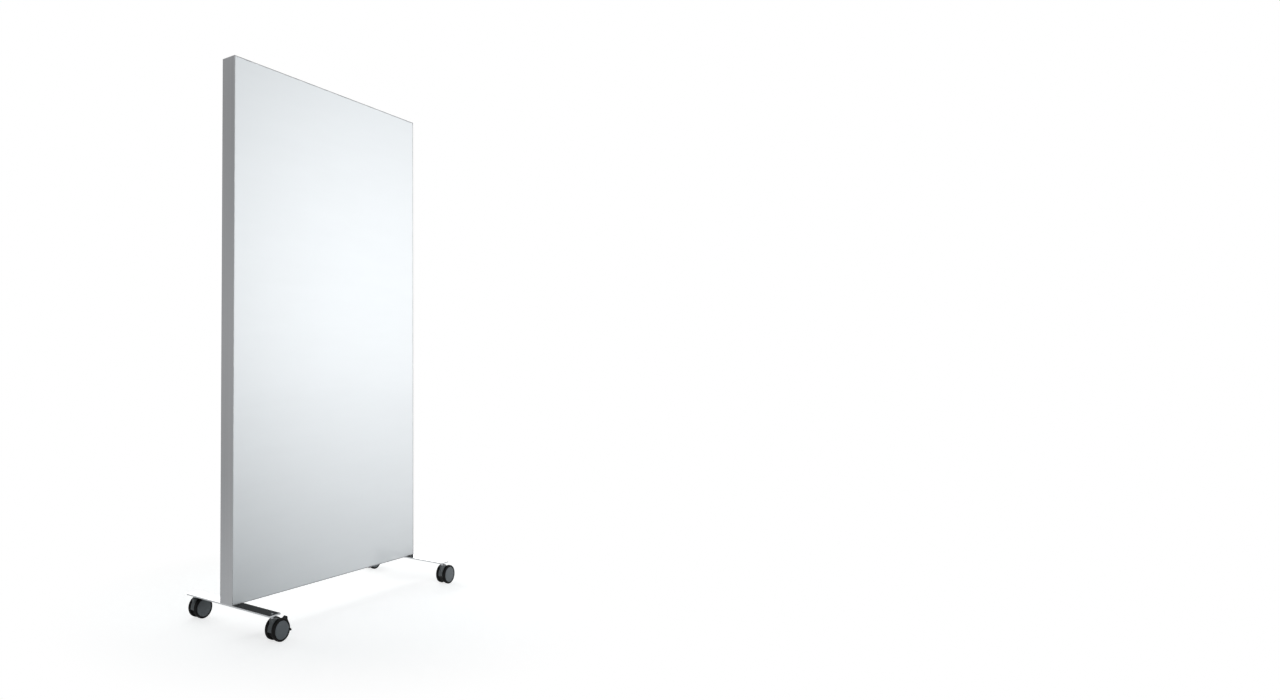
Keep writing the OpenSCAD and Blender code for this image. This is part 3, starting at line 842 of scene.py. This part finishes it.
def felt_sheet():
    """The folded sheet as a bmesh, and the size that it was cut to."""
    flat_w = felt_high.x - felt_low.x - 2 * FELT_T
    flat_h = felt_high.z - felt_low.z - 2 * FELT_T
    middle = (felt_low + felt_high) / 2
    bm = bmesh.new()
    across, up = stations(flat_w), stations(flat_h)
    grid = {}
    for i, u in enumerate(across):
        for j, v in enumerate(up):
            past_u, past_v = abs(u) - flat_w / 2, abs(v) - flat_h / 2
            if min(past_u, past_v) > 0 and max(past_u, past_v) > BEND_LENGTH * CORNER_CUT:
                continue
            (x, drop_x), (z, drop_z) = fold(u, flat_w), fold(v, flat_h)
            fade = min(1, -past_u / FACE_STEP, -past_v / FACE_STEP)
            spot = Vector((x, 0, z)) * per_metre(SWELL_MM) + SWELL_SEED
            swell = SWELL_HEIGHT * (noise.noise(spot) - 1) * max(0, fade)
            y = felt_high.y - min(TURN_DEPTH, drop_x + drop_z) + swell
            grid[i, j] = bm.verts.new((middle.x + x, y, middle.z + z))
    for i in range(len(across) - 1):
        for j in range(len(up) - 1):
            corners = [grid.get(key) for key in ((i, j), (i + 1, j), (i + 1, j + 1), (i, j + 1))]
            if None not in corners:
                bm.faces.new(corners)
    return bm, (flat_w + 2 * TURNED_IN, flat_h + 2 * TURNED_IN)


felt_bm, felt_flat = felt_sheet()
felt_mesh = mesh_of(felt_bm, "felt_cover")
if felt_mesh.polygons[len(felt_mesh.polygons) // 2].normal.y < 0:
    felt_mesh.flip_normals()
felt = keep("felt_face_cover", felt_mesh, "root", "wool_felt", "felt_cover", wool_felt, rigid=False)
thickness = felt.modifiers.new("felt_thickness", "SOLIDIFY")
thickness.thickness = FELT_T
thickness.offset = -1.0
print("felt cut to", felt_flat, "turned down", TURN_DEPTH)

# %% [markdown]
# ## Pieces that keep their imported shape
# The feet, the hoods and the brake pedals are solid already, but their edges are knife-sharp, and a
# real edge never is. Sawn steel is deburred and a moulding has its mould's radius, and it is that
# radius which shows, as a thin light line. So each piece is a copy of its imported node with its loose
# triangles merged, its flat faces joined up and its edges beveled.

# %% Helper for softened copies
CREASE = math.radians(30)
FLAT = math.radians(1)


def softened(node, radius):
    """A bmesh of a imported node, with its edges sharper than 30 degrees rounded."""
    bm = bmesh.new()
    bm.from_mesh(bpy.data.objects[node].data)
    bmesh.ops.remove_doubles(bm, verts=bm.verts, dist=WELD)
    bmesh.ops.recalc_face_normals(bm, faces=bm.faces)
    bmesh.ops.dissolve_limit(bm, angle_limit=FLAT, verts=bm.verts, edges=bm.edges)
    sharp = [edge for edge in bm.edges if edge.is_manifold and edge.calc_face_angle(0) > CREASE]
    bmesh.ops.bevel(bm, geom=sharp, offset=radius, offset_type="OFFSET", segments=EDGE_SEGMENTS,
                    profile=0.5, affect="EDGES", clamp_overlap=True)
    return bm


# %% [markdown]
# ## The feet
# The lacquer lies on the top and the underside. The long edges and the ends stay bright. Which face
# gets which finish follows from its direction, so the two finishes meet at the rounded edge, where
# the grinding wheel would have cut through the lacquer.

# %% The feet
FOOT_EDGE_RADIUS = 0.5 * MM
LEVEL_ENOUGH = 0.8

for side in ("left", "right"):
    node = "foot_" + side
    bm = softened(node, FOOT_EDGE_RADIUS)
    bmesh.ops.recalc_face_normals(bm, faces=bm.faces)
    for face in bm.faces:
        face.material_index = 0 if abs(face.normal.z) > LEVEL_ENOUGH else 1
    bar = keep("bar_" + node, mesh_of(bm, node), "root", "foot_lacquer", node, foot_lacquer, ground_steel)
    feet_only.objects.link(bar)

# %% [markdown]
# ## The screws
# Two kinds of countersunk screw hold the part together. Two large ones go up through each foot into
# the corner block above it, and a small one goes through each end of each frame bar into the key or
# block inside. They are all the same few shapes, a cone, a shank and a hexagon socket, so one tree
# makes a screw and puts it on every point of its seed mesh.

# %% The screw tree
SCREW_SIDES = 32
SOCKET_SIDES = 6
SOCKET_OVERRUN = 0.5 * MM


def screw_tree():
    tree, given = start_tree("countersunk_screws", [
        ("Head radius", "Float"), ("Head height", "Float"), ("Shank radius", "Float"), ("Length", "Float"),
        ("Socket radius", "Float"), ("Socket depth", "Float"), ("Turn", "Vector"), ("Finish", "Material")])

    def turned_solid(sides, low_radius, high_radius, depth, base=0.0):
        cone = feed(tree, "GeometryNodeMeshCone", {
            "Vertices": sides, "Radius Bottom": low_radius, "Radius Top": high_radius, "Depth": depth},
            fill_type="NGON")
        up = feed(tree, "ShaderNodeCombineXYZ", {"Z": base})
        return feed(tree, "GeometryNodeTransform", {"Geometry": cone, "Translation": up})

    # The head lies from 0 up to its height. The shank starts inside it and goes on from there.
    head = turned_solid(SCREW_SIDES, given["Head radius"], given["Shank radius"], given["Head height"])
    shank = turned_solid(SCREW_SIDES, given["Shank radius"], given["Shank radius"], given["Length"])
    depth = calculate(tree, "ADD", given["Socket depth"], SOCKET_OVERRUN)
    radius = given["Socket radius"]
    socket = turned_solid(SOCKET_SIDES, radius, radius, depth, -SOCKET_OVERRUN)
    body = add_node(tree, "GeometryNodeMeshBoolean", operation="UNION", solver="EXACT")
    for solid in (head, shank):
        tree.links.new(solid, body.inputs["Mesh 2"])
    screw = feed(tree, "GeometryNodeMeshBoolean", {"Mesh 1": body.outputs[0], "Mesh 2": socket},
                 operation="DIFFERENCE", solver="EXACT")
    points = feed(tree, "GeometryNodeMeshToPoints", {"Mesh": given["Geometry"]})
    turn = feed(tree, "FunctionNodeEulerToRotation", {0: given["Turn"]})
    placed = feed(tree, "GeometryNodeInstanceOnPoints", {
        "Points": points, "Instance": screw, "Rotation": turn})
    finish_tree(tree, placed, given["Finish"])
    return tree


countersunk = screw_tree()
print("nodes of the screws' tree:", len(countersunk.nodes))

# %% [markdown]
# ## Where the screws go
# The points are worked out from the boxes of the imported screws: a head's radius in from the box's
# side is a screw's middle. The large screws point up, as the tree makes them. The small ones are
# turned to point backwards, from under the writing board.

# %% Where the screws go
FOOT_SCREW = {"Head radius": 8 * MM, "Head height": 4 * MM, "Shank radius": 4 * MM, "Length": 24 * MM,
              "Socket radius": 2.9 * MM, "Socket depth": 2.6 * MM, "Turn": (0, 0, 0)}
CORNER_SCREW = {"Head radius": 4 * MM, "Head height": 2 * MM, "Shank radius": 2 * MM, "Length": 12 * MM,
                "Socket radius": 1 * MM, "Socket depth": 1 * MM, "Turn": (-math.pi / 2, 0, 0)}
SCREW_FROM_CORNER = 60 * MM


def screws(node, sizes, places):
    """One piece with a screw at each of the places."""
    points = bpy.data.meshes.new(node)
    points.from_pydata(places, [], [])
    made = grow(countersunk, points, sizes | {"Finish": zinc_plate})
    keep("countersunk_" + node, made, "root", "zinc_screws", node, zinc_plate)
    print(node, "made:", len(places))


low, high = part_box("foot_screws")
x, y = high.x - FOOT_SCREW["Head radius"], high.y - FOOT_SCREW["Head radius"]
screws("foot_screws", FOOT_SCREW, [(i * x, j * y, low.z) for i in (-1, 1) for j in (-1, 1)])

low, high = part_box("corner_screws")
x = high.x - CORNER_SCREW["Head radius"]
z_low, z_high = low.z + CORNER_SCREW["Head radius"], high.z - CORNER_SCREW["Head radius"]
places = []
for i in (-1, 1):
    for level, end in ((z_low, PANEL_LOW.z + SCREW_FROM_CORNER), (z_high, PANEL_HIGH.z - SCREW_FROM_CORNER)):
        places.append((i * (PANEL_HIGH.x - SCREW_FROM_CORNER), low.y, level))
        places.append((i * x, low.y, end))
screws("corner_screws", CORNER_SCREW, places)

# %% [markdown]
# ## The wheels
# Each wheel of a twin-wheel caster has a hard plastic rim inside a soft grey-black tread, and a disc
# pressed into its outer face. Tread and disc are both turned shapes, so one tree turns a section
# round an axle: it makes a grid with one row for each point of the section, bends it into a ring
# and welds the seam.

# %% The lathe
WHEEL_SIDES = 96


def lathe_tree():
    tree, given = start_tree("turned_section", [
        ("Sides", "Int"), ("Centre", "Vector"), ("Side", "Float"), ("Finish", "Material")])
    rows = add_node(tree, "GeometryNodeAttributeDomainSize", {0: given["Geometry"]}).outputs["Point Count"]
    grid = feed(tree, "GeometryNodeMeshGrid", {
        "Size X": 1.0, "Size Y": 1.0, "Vertices X": rows,
        "Vertices Y": calculate(tree, "ADD", given["Sides"], 1.0)})
    position = feed(tree, "GeometryNodeInputPosition")
    at = split(tree, position)
    along = calculate(tree, "ADD", at["X"], 0.5)
    row = calculate(tree, "MULTIPLY", along, calculate(tree, "SUBTRACT", rows, 1.0))
    index = feed(tree, "FunctionNodeFloatToInt", {0: row}, rounding_mode="ROUND")
    sampled = feed(tree, "GeometryNodeSampleIndex", {
        "Geometry": given["Geometry"], "Value": position, "Index": index}, data_type="FLOAT_VECTOR")
    section = split(tree, sampled)
    angle = calculate(tree, "MULTIPLY", calculate(tree, "ADD", at["Y"], 0.5), math.tau)
    ring = feed(tree, "ShaderNodeCombineXYZ", {
        "X": calculate(tree, "MULTIPLY", section["X"], calculate(tree, "COSINE", angle)),
        "Y": calculate(tree, "MULTIPLY", section["Y"], given["Side"]),
        "Z": calculate(tree, "MULTIPLY", section["X"], calculate(tree, "SINE", angle))})
    bent = place_at(tree, grid, added(tree, ring, given["Centre"]))
    finish_tree(tree, welded(tree, bent), given["Finish"])
    return tree


def section_mesh(name, points):
    """A section as a chain of points: x is the distance from the axle, y goes along it."""
    mesh = bpy.data.meshes.new(name)
    chain = [(i, i + 1) for i in range(len(points) - 1)]
    mesh.from_pydata([(x * MM, y * MM, 0) for x, y in points], chain, [])
    return mesh


lathe = lathe_tree()
print("nodes of the lathe's tree:", len(lathe.nodes))

# %% [markdown]
# ## Tread and disc
# The tread's shoulders are round. The disc has a raised lip, a step down and a faintly domed
# middle, and the lip is what gives it the light crescent in the photograph.

# %% The two sections
# All in millimetres: first the distance from the axle, then the place along it.
TREAD_R, TYRE_BORE_R, WHEEL_W = 37.5, 30.5, 12.5
SHOULDER_R, SIDE_EDGE_R, MOULD_R = 2.5, 0.4, 0.2
SIDE_RING, SIDE_STEP = 1.1, 0.5
CAP_R, CAP_SEAT, CAP_TOP, CAP_FLOOR = 30.2, 10.7, 12.9, 12.4
CAP_LIP, CAP_LIP_SLOPE, CAP_LIP_R, CAP_STEP_R = 2.0, 0.5, 0.7, 0.3
CAP_DOME_R, CAP_DOME_EDGE, CAP_DOME_RISE = 24, 0.06, 0.24

TYRE_SECTION = rounded_outline([
    (TYRE_BORE_R, 0, MOULD_R), (TREAD_R, 0, SHOULDER_R), (TREAD_R, WHEEL_W, SHOULDER_R),
    (TYRE_BORE_R + SIDE_RING, WHEEL_W, SIDE_EDGE_R),
    (TYRE_BORE_R + SIDE_RING - SIDE_STEP, WHEEL_W - SIDE_STEP, MOULD_R),
    (TYRE_BORE_R, WHEEL_W - SIDE_STEP, MOULD_R / 2)])
TYRE_SECTION.append(TYRE_SECTION[0])
# From the axle outwards along the back, and back to the axle over the domed face
CAP_SECTION = [(0, CAP_SEAT)] + rounded_outline([
    (CAP_R, CAP_SEAT, MOULD_R / 2), (CAP_R, CAP_TOP, CAP_LIP_R), (CAP_R - CAP_LIP, CAP_TOP, CAP_STEP_R),
    (CAP_R - CAP_LIP - CAP_LIP_SLOPE, CAP_FLOOR, CAP_STEP_R)])
for share in (1, 0.75, 0.5, 0.25, 0):
    CAP_SECTION.append((CAP_DOME_R * share, CAP_FLOOR + CAP_DOME_EDGE + CAP_DOME_RISE * (1 - share ** 2)))
print("tyre and cap sections:", len(TYRE_SECTION), "and", len(CAP_SECTION), "points")

# %% Tyres and hub discs
# From the middle plane of a hood to the inner face of each wheel beside it
WHEEL_INNER_FACE = 9.5 * MM

for place in PLACES:
    hood_low, hood_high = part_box("hood_" + place)
    for rank in ("outer", "inner"):
        wheel = place + "_" + rank
        low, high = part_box("tyre_" + wheel)
        side = math.copysign(1.0, low.y + high.y - hood_low.y - hood_high.y)
        inner_face = (hood_low.y + hood_high.y) / 2 + side * WHEEL_INNER_FACE
        given = {"Sides": WHEEL_SIDES, "Side": side,
                 "Centre": ((low.x + high.x) / 2, inner_face, (low.z + high.z) / 2)}
        for piece, section, slot, finish in (
                ("tyre", TYRE_SECTION, "soft_tyre", tyre_rubber),
                ("hub_cap", CAP_SECTION, "hub_cap_plastic", hub_plastic)):
            node = piece + "_" + wheel
            turned = grow(lathe, section_mesh(node, section), given | {"Finish": finish})
            keep("turned_" + node, turned, "wheel_" + wheel, slot, node, finish)
print("turned pieces:", 4 * len(PLACES), "of", WHEEL_SIDES, "sides")

# %% [markdown]
# ## Hoods and brake pedals
# The hood is the part of the caster that swivels but doesn't roll, one nylon moulding between the
# two wheels. All its outer edges are rounded, as a moulding's are. The front left and the back right
# caster also have a brake pedal, which swings on a pin and presses a pad on the treads. It is a
# blacker moulding, with smaller radii.

# %% Hoods and pedals
HOOD_EDGE_RADIUS = 1.0 * MM
PEDAL_EDGE_RADIUS = 0.6 * MM


def soft_moulding(node, radius, body, slot, finish):
    """A nylon moulding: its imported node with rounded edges."""
    keep("rounded_" + node, mesh_of(softened(node, radius), node), body, slot, node, finish)


for place in PLACES:
    soft_moulding("hood_" + place, HOOD_EDGE_RADIUS, "swivel_" + place, "hood_nylon", hood_nylon)
for place in BRAKED:
    soft_moulding("brake_pedal_" + place, PEDAL_EDGE_RADIUS, "pedal_" + place, "pedal_nylon", pedal_nylon)
print("mouldings:", len(PLACES) + len(BRAKED))

# %% [markdown]
# ## The rest
# What is hidden inside the panel, or only seen as a sliver between two other pieces, keeps its
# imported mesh. Each piece still gets the finish of what it is really made of, so that the part can
# be opened up or taken apart in another scene.

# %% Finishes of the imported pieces
finish_packed(cast_metal, "top_corner_keys", "bottom_corner_blocks")
finish_packed(absorber, "panel_core")
finish_packed(fibreboard, "board_backing")
finish_packed(soft_board, "pin_board")
finish_packed(spring_steel, "stem_snap_rings")
for place in PLACES:
    finish_packed(zinc_plate, "stem_" + place, "axle_" + place)
    finish_packed(rim_nylon, f"rim_{place}_outer", f"rim_{place}_inner")
for place in BRAKED:
    finish_packed(zinc_plate, "brake_pin_" + place)
print("packed pieces with a finish:", len(has_finish), "of", len(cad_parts))
